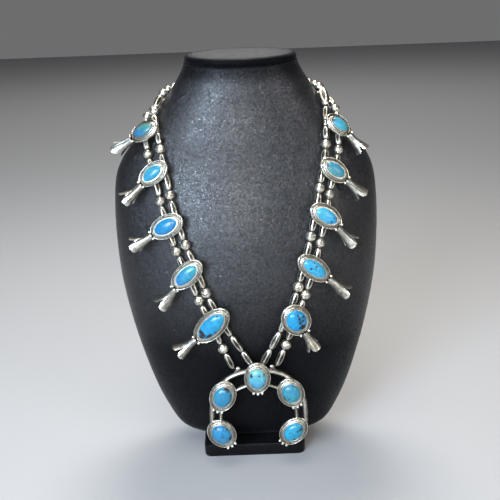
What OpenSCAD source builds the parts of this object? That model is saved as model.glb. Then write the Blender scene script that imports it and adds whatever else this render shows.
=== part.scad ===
// Squash blossom necklace on a padded neck bust.
// Millimetres, +Z up, the viewer on the -Y side, origin under the middle of the foot.

/* [Display bust] */
// Width of the bust across its widest part
bust_w = 212; // [190:1:236]
// Height of the bust above the foot
bust_h = 303; // [275:1:335]
// Depth of the bust from the chest to the back
bust_d = 93.5; // [84:0.5:104]
// Width of the foot
foot_w = 83; // [72:1:96]
// Depth of the foot
foot_d = 95; // [84:1:110]
// Thickness of the foot
foot_t = 11; // [8:0.5:15]
// Corner radius of the foot, seen from above
foot_r = 9; // [5:0.5:14]
// Width of the padded cap on the neck
cap_w = 85; // [80:1:92]
// Depth of the cap
cap_d = 61; // [57:1:68]
// Thickness of the cap
cap_t = 4.5; // [3.5:0.5:8]
// Forward tilt of the neck's top and of the cap, degrees
cap_tilt = 5; // [0:1:9]
// Gap between padded pieces that sit on each other
seat_gap = 0.2; // [0.1:0.05:0.4]

/* [Beads] */
// Diameter of the round beads next to the pendant
round_low_d = 8.2; // [7:0.1:9]
// Diameter of the round beads next to the neck
round_top_d = 7; // [6:0.1:8]
// Diameter of the small round beads behind the neck
neck_bead_d = 5.6; // [4.6:0.1:6.4]
// Diameter of the oblong beads at their middle
oblong_d = 5.5; // [4.6:0.1:6.2]
// Diameter of the oblong beads at their ends
oblong_end_d = 2.8; // [2.4:0.1:3.4]
// Length of the oblong beads above the top blossoms
neck_oblong_len = 12.5; // [10:0.5:14]
// Diameter of the hole through every bead
bore_d = 1.6; // [1.3:0.1:2]
// Diameter of the thread
thread_d = 0.8; // [0.5:0.1:0.9]
// Gap between two beads on a thread
joint_gap = 0.45; // [0.35:0.05:0.6]
// Extra gap between a bead and the shank loop beside it
shank_gap = 0.4; // [0.3:0.05:0.6]
// Gap between the round beads of the two strings
strand_clear = 0.8; // [0.6:0.1:1.4]
// Gap between the beads and the bust
rest_gap = 0.3; // [0.2:0.05:0.5]

/* [Blossoms] */
// Length of the typical blossom stone
blossom_stone_l = 20; // [17:0.5:22]
// Width of the typical blossom stone
blossom_stone_w = 11; // [9:0.5:12.5]
// Silver between the stone and the plate's end
edge_end = 4.2; // [3.4:0.1:5]
// Silver between the stone and the plate's side
edge_side = 3.3; // [2.8:0.1:4]
// Thickness of the plates
plate_t = 1; // [0.8:0.1:1.4]
// Width of the raised rim
rim_w = 1.2; // [0.9:0.1:1.4]
// Height of the raised rim above the plate's back
rim_h = 2; // [1.7:0.1:2.6]
// Thickness of the bezel round the stone
bezel_t = 0.6; // [0.5:0.05:0.8]
// Height of the bezel above the plate's back
bezel_h = 3; // [2.7:0.1:3.6]
// Play of the stone in its bezel
stone_fit = 0.15; // [0.1:0.05:0.25]
// Rise of the stone's dome as a share of its width
dome_rise = 0.24; // [0.16:0.01:0.32]
// Diameter of the silver grains
grain_d = 1.9; // [1.5:0.1:2.2]
// Length of the flower trumpet
flower_len = 19.5; // [16:0.5:22]
// Diameter of the flower's stem
stem_d = 5; // [4.4:0.1:5.8]
// Diameter of the flower's mouth
mouth_d = 10.5; // [9:0.5:12]
// Thickness of the petals
petal_t = 0.8; // [0.6:0.1:1.1]
// Length of a shank loop along its thread
shank_len = 4; // [3:0.5:5]
// Outer diameter of a shank loop
shank_d = 3.6; // [3.2:0.1:4]
// Shift of the shank loops from the plate's middle
shank_shift = 2.8; // [1.5:0.1:3.6]

/* [Naja] */
// Width between the middles of the outer band's legs
naja_w = 73.6; // [68:0.2:80]
// Height of the outer band's arch
naja_h = 39.8; // [36:0.2:44]
// Width between the middles of the inner band's legs
naja_inner_w = 60; // [56:0.5:62]
// Height of the inner band's arch
naja_inner_h = 28.5; // [26:0.5:30]
// Straight length of the legs below the arches
naja_leg = 6; // [4:0.5:8]
// Width of the outer band
outer_band_w = 4.2; // [3.6:0.1:4.8]
// Width of the inner band
inner_band_w = 3; // [2.4:0.1:3.4]
// Depth of both bands
band_t = 4.4; // [4.2:0.1:4.8]
// Distance of the naja's middle from the bust's middle
naja_x = 4; // [0:0.5:6]
// Length of the typical naja stone
naja_stone_l = 18; // [16:0.5:19]
// Width of the typical naja stone
naja_stone_w = 14; // [12:0.5:15]
// Length of a thread loop on the naja
loop_len = 2.6; // [2:0.2:3.2]

/* [Clasp] */
// Width of the clasp behind the neck
clasp_w = 15; // [12:0.5:18]
// Height of the clasp
clasp_h = 13; // [11:0.5:15]
// Thickness of the clasp
clasp_t = 3.2; // [2.8:0.1:3.6]

/* [Hidden] */
blossom_count = 5;
left_ids = [for (i = [1:blossom_count]) str("left_", i)];
right_ids = [for (i = [1:blossom_count]) str("right_", i)];
ids = concat(left_ids, right_ids);

leather = [0.10, 0.10, 0.11];
silver = [0.76, 0.75, 0.72];
turquoise = [0.16, 0.60, 0.82];
cord_colour = [0.25, 0.24, 0.22];

// Sections of the bust, from the foot to the neck. Columns: height as a share of bust_h,
// half width as a share of half bust_w, then the places of the sides, of the chest and
// of the back as shares of bust_d.
bust_rows = [
    [0, 0.49, -0.19, -0.36, 0.09],
    [0.022, 0.59, -0.155, -0.41, 0.18],
    [0.069, 0.68, -0.11, -0.465, 0.24],
    [0.135, 0.765, -0.08, -0.52, 0.285],
    [0.227, 0.85, -0.04, -0.57, 0.315],
    [0.326, 0.922, -0.005, -0.6, 0.335],
    [0.442, 0.98, 0.035, -0.595, 0.36],
    [0.557, 1, 0.07, -0.545, 0.38],
    [0.65, 0.993, 0.09, -0.475, 0.39],
    [0.716, 0.965, 0.09, -0.41, 0.4],
    [0.762, 0.905, 0.09, -0.36, 0.4],
    [0.815, 0.785, 0.09, -0.3, 0.4],
    [0.871, 0.642, 0.09, -0.26, 0.39],
    [0.927, 0.52, 0.09, -0.24, 0.38],
    [0.973, 0.434, 0.09, -0.23, 0.38],
    [1, 0.4, 0.09, -0.225, 0.38]];

// Blossoms, the left side from the neck down and then the right side. Columns: turn round
// the bust in degrees, height share, tilt of the plate, turn of the flower, then stone
// length, stone width and flower length as shares of the typical ones.
blossoms = [
    [-60.5, 0.825, 27, 11, 0.9, 0.9, 0.93],
    [-40.5, 0.734, 36, 10, 0.88, 0.88, 1],
    [-32.5, 0.613, 28, 5, 1, 1, 1],
    [-24.5, 0.499, 42, 9, 1.08, 0.95, 1],
    [-16, 0.373, 46, -4, 1.36, 1.18, 1],
    [57.5, 0.824, 40, 16, 0.75, 0.85, 0.88],
    [39.5, 0.727, 40, 6, 0.84, 0.88, 0.95],
    [32.5, 0.624, 36, 14, 0.96, 0.95, 0.97],
    [26.5, 0.503, 40, 2, 1.07, 0.95, 1.08],
    [19.2, 0.378, 58, 2, 0.91, 1.42, 0.88]];

// Routes of the strings above the top blossoms, left side and right side. Columns: turn
// and height share of the inner string, then of the outer string.
neck_routes = [
    [[76, 0.877, 84.5, 0.86],
     [82, 0.895, 96, 0.876],
     [93, 0.912, 107, 0.889],
     [118, 0.925, 126, 0.898],
     [146, 0.93, 148, 0.901]],
    [[66, 0.874, 75, 0.856],
     [69.5, 0.889, 82, 0.869],
     [75, 0.9, 90, 0.877],
     [87, 0.911, 103, 0.886],
     [113, 0.922, 122, 0.894],
     [146, 0.929, 148, 0.9]]];

// Naja stones: centre, upper left, upper right, lower left, lower right. Columns: place
// across as a share of half naja_w, place above the legs as a share of naja_h, tilt of
// the plate, stone length and width as shares of the typical ones.
naja_seats = [
    [0, 0.874, 90, 0.98, 0.99],
    [-0.745, 0.503, 70, 1.03, 1],
    [0.7, 0.528, 112, 0.94, 1],
    [-0.807, -0.327, 124, 1, 1.07],
    [0.739, -0.327, 50, 1, 0.97]];
// Side loops of the naja, as shares of half naja_w
loop_places = [-0.4, 0.315];
// Height of the naja's crown as a share of bust_h
crown_share = 0.24;
outer_power = 2.4;
inner_power = 2;

bust_steps = 30;
bust_sides = 40;
route_steps = 10;
oval_sides = 32;
thread_sides = 8;
base_z = foot_t + seat_gap;
stone_seat = plate_t + 0.1;
string_gap = round_low_d + strand_clear;
string_lift = round_low_d/2 + rest_gap;
neck_lift = round_top_d/2 + rest_gap + 0.2;
shank_half = shank_len/2 + shank_gap;
plate_lift = string_lift + oblong_d/2 + rest_gap;
post_w = 2.4;
clasp_pitch = neck_bead_d + 1.4;
clasp_share = 0.914;

// Smooth curve through values at given places, one slope at each place
function slopes(xs, vs) = [for (i = [0:len(xs) - 1])
    let (a = max(i - 1, 0), b = min(i + 1, len(xs) - 1))
    (vs[b] - vs[a])/(xs[b] - xs[a])];
function smooth(xs, vs, ms, i, u) =
    let (h = xs[i + 1] - xs[i], v = u*u, w = v*u)
    (2*w - 3*v + 1)*vs[i] + (w - 2*v + u)*h*ms[i]
    + (3*v - 2*w)*vs[i + 1] + (w - v)*h*ms[i + 1];
function ramp(x) = let (u = max(0, min(1, x))) u*u*(3 - 2*u);
function unit(v) = v/norm(v);
function total(list, n) = n <= 0 ? 0 : list[n - 1] + total(list, n - 1);

bust_heights = [for (r = bust_rows) r[0]];
bust_slopes = slopes(bust_heights, bust_rows);
function bust_row(s) =
    let (i = max([for (k = [0:len(bust_rows) - 2]) if (k == 0 || bust_heights[k] <= s) k]),
         u = (s - bust_heights[i])/(bust_heights[i + 1] - bust_heights[i]))
    smooth(bust_heights, bust_rows, bust_slopes, i, u);
// Point of the bust's surface, by turn from the front and by height share
function skin(turn, s) =
    let (r = bust_row(s),
         y = bust_d*(r[2] - (cos(turn) >= 0 ? r[2] - r[3] : r[4] - r[2])*cos(turn)))
    [bust_w/2*r[1]*sin(turn), y, base_z + bust_h*s + y*tan(cap_tilt)*ramp((s - 0.85)/0.15)];
function along_turn(turn, s) = skin(turn + 0.4, s) - skin(turn - 0.4, s);
function along_height(turn, s) = skin(turn, s + 0.001) - skin(turn, s - 0.001);
function outward(turn, s) = unit(cross(along_turn(turn, s), along_height(turn, s)));
function lifted(p) = skin(p[0], p[1]) + p[2]*outward(p[0], p[1]);
// Turn and height share of the surface point in front of x and z
function facing(x, z) =
    let (s = (z - base_z)/bust_h) [asin(x/(bust_w/2*bust_row(s)[1])), s];

// Frame of a blossom: origin at the plate's back, long axis, cross axis, outward axis
function side_of(i) = i < blossom_count ? -1 : 1;
function blossom_frame(i) =
    let (b = blossoms[i], n = outward(b[0], b[1]), e = unit(along_turn(b[0], b[1])),
         up = cross(n, e), u = -side_of(i)*cos(b[2])*e + sin(b[2])*up)
    [skin(b[0], b[1]) + plate_lift*n, u, cross(n, u), n];
// Turn and height share of shank loop k of blossom i, 0 inner and 1 outer
function shank_place(i, k) =
    let (b = blossoms[i], d = shank_shift + (k == 0 ? 1 : -1)*string_gap/2,
         c = -side_of(i)*cos(b[2])*d, h = sin(b[2])*d,
         t1 = b[0] + c/norm(along_turn(b[0], b[1]))*0.4,
         s1 = b[1] + h/norm(along_height(b[0], b[1]))*0.001)
    [b[0] + c/norm(along_turn(t1, s1))*0.8, b[1] + h/norm(along_height(t1, s1))*0.002, string_lift];

// Naja: its plane hangs level with the threads in front of the chest
crown_z = base_z + crown_share*bust_h;
legs_z = crown_z - naja_h;
naja_y = lifted([0, crown_share, string_lift])[1];
plate_y = -oblong_d/2 - rest_gap - 0.5;
loop_d = shank_d - 0.4;
loop_rise = outer_band_w/2 + loop_d/2 - 0.4;
function arch(w, h, power, x) = h*pow(max(0, 1 - pow(abs(2*x/w), power)), 1/power);
function loop_at(j) =
    let (x = j == 1 ? 0 : loop_places[j/2]*naja_w/2)
    [naja_x + x, naja_y, legs_z + arch(naja_w, naja_h, outer_power, x) + loop_rise];
// Where a string ends beside its naja loop: 0 inner, 1 outer, side -1 left, 1 right
function loop_index(side, k) = k == 0 ? 1 : side + 1;
function string_foot(side, k) =
    let (p = loop_at(loop_index(side, k)),
         f = facing(p[0] + side*(loop_len/2 + oblong_end_d/2 + 0.8), p[2] + 0.6))
    [f[0], f[1], string_lift];
function clasp_turn() = 180 - (clasp_w/2 + joint_gap)/(bust_w/2*bust_row(clasp_share)[1]*PI/180);
clasp_mid = lifted([180, clasp_share, neck_lift]);
function string_head(side, k) =
    [side*clasp_turn(), clasp_share + (k == 0 ? 1 : -1)*clasp_pitch/2/bust_h, neck_lift];

// Control points of a string, from the naja up to the clasp
function route(side, k) =
    let (first = side < 0 ? 0 : blossom_count)
    concat([string_foot(side, k)],
        [for (i = [blossom_count - 1:-1:0]) shank_place(first + i, k)],
        [for (p = neck_routes[side < 0 ? 0 : 1]) [side*p[2*k], p[2*k + 1],
            string_lift + (neck_lift - string_lift)*ramp((p[2*k] - 50)/60)]],
        [string_head(side, k)]);
function knots(pts) = let (d = [for (i = [1:len(pts) - 1]) norm(lifted(pts[i]) - lifted(pts[i - 1]))])
    [for (i = [0:len(pts) - 1]) total(d, i)];
function curve(pts) =
    let (xs = knots(pts), ms = slopes(xs, pts))
    concat([for (i = [0:len(pts) - 2]) for (k = [0:route_steps - 1])
        lifted(smooth(xs, pts, ms, i, k/route_steps))], [lifted(pts[len(pts) - 1])]);
function lengths(line, i = 1, run = [0]) =
    i >= len(line) ? run : lengths(line, i + 1, concat(run, [run[i - 1] + norm(line[i] - line[i - 1])]));
// Tables of x, y and z by distance along a string
function tracks(line) = let (run = lengths(line))
    [for (c = [0:2]) [for (i = [0:len(line) - 1]) [run[i], line[i][c]]]];
function on_track(t, s) = [lookup(s, t[0]), lookup(s, t[1]), lookup(s, t[2])];

// Beads of a string as rows of start, end and diameter. A diameter of 0 is an oblong.
function gap_beads(a, b, d, pair) =
    let (r = d + joint_gap, o = pair ? (b - a)/3 : (b - a - r)/2)
    pair ? [[a, a + o, 0], [a + o, a + 2*o, 0], [a + 2*o, b, 0]]
    : [[a, a + o, 0], [a + o, a + o + r, d], [a + o + r, b, 0]];
function round_d(i) = round_low_d + (round_top_d - round_low_d)*i/(blossom_count - 1);
function neck_beads(a, b) =
    let (o = neck_oblong_len, d = round_top_d, r = d + joint_gap, c = a + 2*o + 2*r,
         n = max(1, floor((b - c)/(neck_bead_d + joint_gap))), w = (b - c)/n)
    concat([[a, a + o, 0], [a + o, a + o + r, d], [a + o + r, a + 2*o + r, 0], [a + 2*o + r, c, d]],
        [for (i = [0:n - 1]) [c + i*w, c + (i + 1)*w, w - joint_gap]]);
function beads(k, holes, end) =
    concat(gap_beads(0, holes[0] - shank_half, round_d(0), k == 0),
        [for (i = [1:blossom_count - 1]) for (b = gap_beads(holes[i - 1] + shank_half,
            holes[i] - shank_half, round_d(i), false)) b],
        neck_beads(holes[blossom_count - 1] + shank_half, end));

// Everything that the nodes need of one string: its tracks, hole distances and beads
function string_of(side, k) =
    let (line = curve(route(side, k)), run = lengths(line),
         holes = [for (i = [1:blossom_count]) run[i*route_steps]])
    [tracks(line), holes, beads(k, holes, run[len(run) - 1])];
strings = [string_of(-1, 0), string_of(-1, 1), string_of(1, 0), string_of(1, 1)];
function string_index(side, k) = (side < 0 ? 0 : 2) + k;
function hole_at(i, k) =
    let (g = strings[string_index(side_of(i), k)], h = g[1][blossom_count - 1 - i%blossom_count])
    [on_track(g[0], h - shank_len/2), on_track(g[0], h + shank_len/2)];

// Shapes shared by several pieces
module place(f) {
    multmatrix([
        [f[1][0], f[2][0], f[3][0], f[0][0]],
        [f[1][1], f[2][1], f[3][1], f[0][1]],
        [f[1][2], f[2][2], f[3][2], f[0][2]]])
        children();
}

// Turns +Z to the direction from a to b and moves to a
module from_to(a, b) {
    d = b - a;
    translate(a)
        rotate([0, acos(d[2]/norm(d)), atan2(d[1], d[0])])
            children();
}

// Closed skin over rings of the same number of points, first ring to last
module loft(rings) {
    n = len(rings[0]);
    m = len(rings);
    polyhedron(
        points = [for (r = rings) for (p = r) p],
        faces = concat(
            [[for (i = [0:n - 1]) i]],
            [for (j = [0:m - 2]) for (i = [0:n - 1]) let (a = (i + 1)%n)
                [j*n + i, (j + 1)*n + a, j*n + a]],
            [for (j = [0:m - 2]) for (i = [0:n - 1]) let (a = (i + 1)%n)
                [j*n + i, (j + 1)*n + i, (j + 1)*n + a]],
            [[for (i = [n - 1:-1:0]) (m - 1)*n + i]]));
}

function oval(l, w, z = 0, n = oval_sides) =
    [for (i = [0:n - 1]) [l/2*cos(360*i/n), w/2*sin(360*i/n), z]];
module oval_disc(l, w, h) {
    linear_extrude(h)
        polygon([for (p = oval(l, w)) [p[0], p[1]]]);
}

module oval_ring(l, w, t, h) {
    linear_extrude(h)
        difference() {
            polygon([for (p = oval(l, w)) [p[0], p[1]]]);
            polygon([for (p = oval(l - 2*t, w - 2*t)) [p[0], p[1]]]);
        }
}

// Plate with a raised rim, a sunk channel and a bezel, for a stone of length l, width w
module setting(l, w) {
    pl = l + 2*edge_end;
    pw = w + 2*edge_side;
    bl = l + 2*stone_fit + 2*bezel_t;
    bw = w + 2*stone_fit + 2*bezel_t;
    oval_disc(pl, pw, plate_t);
    oval_ring(pl, pw, rim_w, rim_h);
    oval_ring(bl, bw, bezel_t, bezel_h);
}

// Domed stone that fits the setting
module cabochon(l, w) {
    girdle = bezel_h + 0.2;
    rise = dome_rise*w;
    translate([0, 0, stone_seat])
        loft(concat(
            [oval(l, w), oval(l, w, girdle - stone_seat)],
            [for (a = [30, 58, 80])
                oval(l*cos(a), w*cos(a), girdle - stone_seat + rise*sin(a))]));
}

// Three grains on the edge of a plate, round the given direction
module grains(l, w, direction) {
    for (a = [-17, 0, 17])
        translate([(l/2 + edge_end - grain_d/4)*cos(direction + a),
                (w/2 + edge_side - grain_d/4)*sin(direction + a), rim_h - grain_d/4])
            sphere(d = grain_d, $fn = 20);
}

// Trumpet flower along +Z: a stem that opens into three petals
module flower(l) {
    r = stem_d/2;
    m = mouth_d/2;
    difference() {
        rotate_extrude($fn = 48)
            polygon([[0, 0], [r*0.8, 0], [r, l*0.06], [r, l*0.3], [r*1.06, l*0.5],
                [r*1.22, l*0.66], [r*1.45, l*0.8], [m*0.84, l*0.92], [m, l],
                [m - petal_t, l], [m*0.84 - petal_t, l*0.93], [r*1.45 - petal_t, l*0.82],
                [r*1.22 - petal_t, l*0.66], [r*1.06 - petal_t, l*0.5], [0, l*0.42]]);
        for (a = [60, 180, 300])
            rotate([90, 0, a + 90])
                linear_extrude(m + 2)
                    polygon([[0, l*0.6], [m*0.62, l + 1], [-m*0.62, l + 1]]);
    }
}

// Pieces
module bust_body() {
    color(leather)
        loft([for (j = [0:bust_steps]) let (s = pow(j/bust_steps, 1.15))
            [for (i = [0:bust_sides - 1]) skin(360*i/bust_sides, s)]]);
}

module neck_cap() {
    top = skin(180, 1);
    front = skin(0, 1);
    mid = (top + front)/2;
    soft = cap_t*0.42;
    rim = [[soft, 0], [soft*0.3, soft*0.3], [0, soft], [0, cap_t - soft],
        [soft*0.3, cap_t - soft*0.3], [soft, cap_t]];
    color(leather)
        translate([0, mid[1], mid[2]])
            rotate([cap_tilt, 0, 0])
                translate([0, 0, seat_gap])
                    loft([for (r = rim) oval(cap_w - 2*r[0], cap_d - 2*r[0], r[1], 48)]);
}

module base_foot() {
    soft = foot_t*0.25;
    rim = [[soft*0.5, 0], [0, soft*0.5], [0, foot_t - soft], [soft*0.3, foot_t - soft*0.3],
        [soft, foot_t]];
    corner = [for (q = [0:3]) for (a = [0:18:90]) [q, a + 90*q]];
    color(leather)
        loft([for (r = rim) [for (c = corner)
            [((c[0] == 0 || c[0] == 3) ? 1 : -1)*(foot_w/2 - foot_r) + (foot_r - r[0])*cos(c[1]),
             (c[0] < 2 ? 1 : -1)*(foot_d/2 - foot_r) + (foot_r - r[0])*sin(c[1]), r[1]]]]);
}

module blossom(i) {
    b = blossoms[i];
    l = blossom_stone_l*b[4];
    w = blossom_stone_w*b[5];
    f = blossom_frame(i);
    stem_angle = 180 + side_of(i)*-b[3];
    stem_r = stem_d/2;
    color(silver)
        difference() {
            union() {
                place(f) {
                    setting(l, w);
                    grains(l, w, stem_angle);
                    rotate([0, 0, stem_angle])
                        translate([l/2 + edge_end - 1.2, 0, stem_r*0.4])
                            rotate([0, 90, 0])
                                rotate([0, 0, 180 + side_of(i)*25])
                                    flower(flower_len*b[6]);
                    for (k = [0, 1])
                        shank_post(f, hole_at(i, k));
                }
                for (k = [0, 1])
                    let (h = hole_at(i, k))
                        from_to(h[0], h[1])
                            cylinder(d = shank_d, h = norm(h[1] - h[0]), $fn = 32);
            }
            for (k = [0, 1])
                let (h = hole_at(i, k), d = unit(h[1] - h[0]))
                    from_to(h[0] - 2*d, h[1] + 2*d)
                        cylinder(d = bore_d, h = norm(h[1] - h[0]) + 4, $fn = 32);
        }
}

// Post from a shank loop to the plate's back, in the frame of the blossom
module shank_post(f, h) {
    p = (h[0] + h[1])/2 - f[0];
    x = p*f[1];
    y = p*f[2];
    z = p*f[3];
    translate([x - post_w/2, y - post_w/2, z])
        cube([post_w, post_w, plate_t*0.6 - z]);
}

module stone(i) {
    b = blossoms[i];
    color(turquoise)
        place(blossom_frame(i))
            cabochon(blossom_stone_l*b[4], blossom_stone_w*b[5]);
}

// Frame of naja plate j: origin at its back, long axis, cross axis, outward axis
function naja_frame_of(j) =
    let (s = naja_seats[j], u = [cos(s[2]), 0, sin(s[2])], n = [0, -1, 0])
    [[naja_x + s[0]*naja_w/2, naja_y + plate_y, legs_z + s[1]*naja_h], u, cross(n, u), n];

// Arched band of the naja, flat at the back and ridged in front, from leg to leg
module band(w, h, power, bar) {
    top = [for (a = [0:12:180]) let (c = cos(a), s = sin(a))
        [w/2*sign(c)*pow(abs(c), 2/power), h*pow(abs(s), 2/power)]];
    line = concat([[w/2, -naja_leg]], top, [[-w/2, -naja_leg]]);
    n = len(line) - 1;
    section = [[0.5, band_t], [-0.5, band_t], [-0.5, band_t*0.4], [-0.15, 0],
        [0.15, 0], [0.5, band_t*0.4]];
    translate([naja_x, naja_y + plate_y - 0.3, legs_z])
        loft([for (i = [0:n]) let (d = unit(line[min(i + 1, n)] - line[max(i - 1, 0)]))
            [for (q = section) [line[i][0] + q[0]*bar*d[1], q[1], line[i][1] - q[0]*bar*d[0]]]]);
}

module naja_frame() {
    color(silver)
        difference() {
            union() {
                band(naja_w, naja_h, outer_power, outer_band_w);
                band(naja_inner_w, naja_inner_h, inner_power, inner_band_w);
                for (j = [0:len(naja_seats) - 1])
                    let (s = naja_seats[j])
                        place(naja_frame_of(j)) {
                            setting(naja_stone_l*s[3], naja_stone_w*s[4]);
                            grains(naja_stone_l*s[3], naja_stone_w*s[4], 180);
                        }
                for (j = [0:2])
                    translate(loop_at(j))
                        rotate([0, 90, 0])
                            cylinder(d = loop_d, h = loop_len, center = true, $fn = 12);
            }
            for (j = [0:2])
                translate(loop_at(j))
                    rotate([0, 90, 0])
                        cylinder(d = bore_d, h = loop_len + 4, center = true, $fn = 12);
        }
}

module naja_stone(j) {
    s = naja_seats[j];
    color(turquoise)
        place(naja_frame_of(j))
            cabochon(naja_stone_l*s[3], naja_stone_w*s[4]);
}

// One drilled bead along +Z, of length l. A diameter of 0 is an oblong.
module bead(l, d) {
    if (d == 0)
        oblong_bead(l);
    else
        translate([0, 0, l/2])
            difference() {
                sphere(d = d, $fn = 32);
                cylinder(d = bore_d, h = 2*d, center = true, $fn = 32);
            }
}

module oblong_bead(l) {
    e = oblong_end_d/2;
    g = oblong_d/2 - e;
    half = [for (a = [0:18:90]) [e + g*sin(a), l/2*(1 - cos(a))*0.999]];
    other = [for (i = [len(half) - 2:-1:0]) [half[i][0], l - half[i][1]]];
    rotate_extrude($fn = 32)
        polygon(concat([[bore_d/2, l], [bore_d/2, 0]], half, other));
}

module beads_of(side, k) {
    g = strings[string_index(side, k)];
    color(silver)
        for (b = g[2]) {
            p = on_track(g[0], b[0]);
            q = on_track(g[0], b[1]);
            d = unit(q - p);
            from_to(p + d*joint_gap/2, q)
                bead(norm(q - p) - joint_gap, b[2]);
        }
}

// Points of a thread on one side, from its naja loop up to the clasp
function clasp_hole(side, k, depth) =
    clasp_mid + [side*(clasp_w/2 - depth), 0, (k == 0 ? 1 : -1)*clasp_pitch/2];
function thread_side(side, k) =
    let (g = strings[string_index(side, k)], b = g[2], n = len(b) - 1)
    concat([loop_at(loop_index(side, k)) + [side*loop_len/2, 0, 0]],
        [for (i = [0:n]) for (s = i == n || b[min(i + 1, n)][0] > b[i][1] + joint_gap ?
            [b[i][0], b[i][1]] : [b[i][0]]) on_track(g[0], s)],
        [clasp_hole(side, k, 0.2), clasp_hole(side, k, 4)]);
function reversed(v) = [for (i = [len(v) - 1:-1:0]) v[i]];

module thread(line) {
    n = len(line) - 1;
    loft([for (i = [0:n])
        let (p = line[i], d = unit(line[min(i + 1, n)] - line[max(i - 1, 0)]),
             r = [p[0], p[1] - bust_d*0.09, 0], e = unit(r - (r*d)*d), f = cross(d, e))
        [for (a = [0:thread_sides - 1])
            p + thread_d/2*(cos(360*a/thread_sides)*e + sin(360*a/thread_sides)*f)]]);
}

module inner_thread() {
    color(cord_colour)
        thread(concat(reversed(thread_side(-1, 0)), thread_side(1, 0)));
}

// The outer thread is tied off in a loop on each side of the naja
module outer_thread() {
    color(cord_colour)
        for (side = [-1, 1])
            let (line = thread_side(side, 1))
                thread(concat([line[0] - [side*loop_len*0.7, 0, 0]], line));
}

module clasp() {
    color(silver)
        translate(clasp_mid)
            difference() {
                rotate([90, 0, 0])
                    linear_extrude(clasp_t, center = true)
                        offset(r = 3, $fn = 32)
                            square([clasp_w - 6, clasp_h - 6], center = true);
                for (k = [-1, 1])
                    translate([0, 0, k*clasp_pitch/2])
                        rotate([0, 90, 0])
                            cylinder(d = bore_d, h = clasp_w + 2, center = true, $fn = 32);
            }
}

bust_body();
neck_cap();
base_foot();
naja_frame();
for (j = [0:len(naja_seats) - 1])
    naja_stone(j);
for (i = [0:len(blossoms) - 1])
    blossom(i);
for (i = [0:len(blossoms) - 1])
    stone(i);
beads_of(-1, 0);  // inner_beads_left
beads_of(1, 0);  // inner_beads_right
beads_of(-1, 1);  // outer_beads_left
beads_of(1, 1);  // outer_beads_right
inner_thread();
outer_thread();
clasp();
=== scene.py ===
import math

import bpy
import numpy as np
from mathutils import Matrix, Vector


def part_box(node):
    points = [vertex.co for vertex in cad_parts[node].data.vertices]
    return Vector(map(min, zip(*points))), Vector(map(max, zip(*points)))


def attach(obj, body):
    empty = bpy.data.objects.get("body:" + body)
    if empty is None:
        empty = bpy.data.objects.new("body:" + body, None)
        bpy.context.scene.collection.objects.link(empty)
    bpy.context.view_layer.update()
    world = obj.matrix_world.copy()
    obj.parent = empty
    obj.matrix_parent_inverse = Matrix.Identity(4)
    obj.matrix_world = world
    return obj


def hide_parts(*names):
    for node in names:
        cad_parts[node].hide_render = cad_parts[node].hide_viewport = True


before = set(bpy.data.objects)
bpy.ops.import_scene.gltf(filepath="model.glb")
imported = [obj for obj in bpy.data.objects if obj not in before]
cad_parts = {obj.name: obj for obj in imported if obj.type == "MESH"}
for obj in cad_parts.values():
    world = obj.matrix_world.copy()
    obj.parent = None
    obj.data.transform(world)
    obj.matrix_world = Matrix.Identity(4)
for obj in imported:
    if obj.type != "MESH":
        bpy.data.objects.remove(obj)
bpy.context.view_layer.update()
mm = 0.001
print("necklace frame loaded")

# camera and light

cameraLook = {
    "place": (0.002, -0.5839, 0.3525),
    "pitch": 18.0,  # degrees below the horizon
    "roll": 2.14,
    "lens": 54.0,
    "sensor": 36.0,
}


def setCamera():
    pitch = math.radians(cameraLook["pitch"])
    roll = math.radians(cameraLook["roll"])
    ahead = Vector((0, math.cos(pitch), -math.sin(pitch)))
    levelRight = Vector((1, 0, 0))
    levelUp = levelRight.cross(ahead)
    right = levelRight * math.cos(roll) - levelUp * math.sin(roll)
    up = levelUp * math.cos(roll) + levelRight * math.sin(roll)
    turn = Matrix((right, up, -ahead)).transposed().to_4x4()
    data = bpy.data.cameras.new("photoCamera")
    data.lens = cameraLook["lens"]
    data.sensor_width = cameraLook["sensor"]
    data.clip_start = 0.01
    camera = bpy.data.objects.new("photoCamera", data)
    camera.matrix_world = Matrix.Translation(cameraLook["place"]) @ turn
    bpy.context.scene.collection.objects.link(camera)
    bpy.context.scene.camera = camera


# name: place, what it looks at, size, watts, colour
lamps = {
    "windowLeft": ((-0.66, -1.20, 0.66), (0, -0.02, 0.19), 0.60, 34.0, (0.63, 0.79, 1.0)),
    "roomFront": ((-0.06, -1.35, 0.66), (0, -0.02, 0.19), 0.50, 9.0, (1.0, 0.97, 0.94)),
    "fillRight": ((0.85, -0.75, 0.50), (0, -0.02, 0.19), 0.45, 3.4, (1.0, 0.96, 0.92)),
    "ceiling": ((-0.15, -0.35, 1.25), (0, -0.02, 0.19), 0.60, 6.0, (1.0, 0.97, 0.93)),
    "topBack": ((0.00, 0.30, 1.00), (0, 0, 0.25), 0.30, 7.0, (1.0, 0.97, 0.95)),
    "floorBack": ((0.00, 1.90, 2.60), (0, 2.20, 0), 1.20, 34.0, (1.0, 0.99, 0.97)),
}
skyLook = {
    "low": (0.28, 0.28, 0.285),  # the pale strip at the horizon
    "high": (0.19, 0.195, 0.21),  # the dimmer part above it
    "blend": (0.015, 0.06),  # between these heights one turns into the other
    "strength": 0.55,
}
floorLook = {"colour": (0.38, 0.376, 0.37), "size": 12.0, "rough": 0.85}
bpy.context.scene.view_settings.view_transform = "Standard"


def setLamps():
    for name, (place, aim, size, watts, colour) in lamps.items():
        data = bpy.data.lights.new(name, "AREA")
        data.size = size
        data.energy = watts
        data.color = colour
        lamp = bpy.data.objects.new(name, data)
        lamp.location = place
        lamp.rotation_euler = (Vector(aim) - Vector(place)).to_track_quat("-Z", "Y").to_euler()
        bpy.context.scene.collection.objects.link(lamp)


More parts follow.
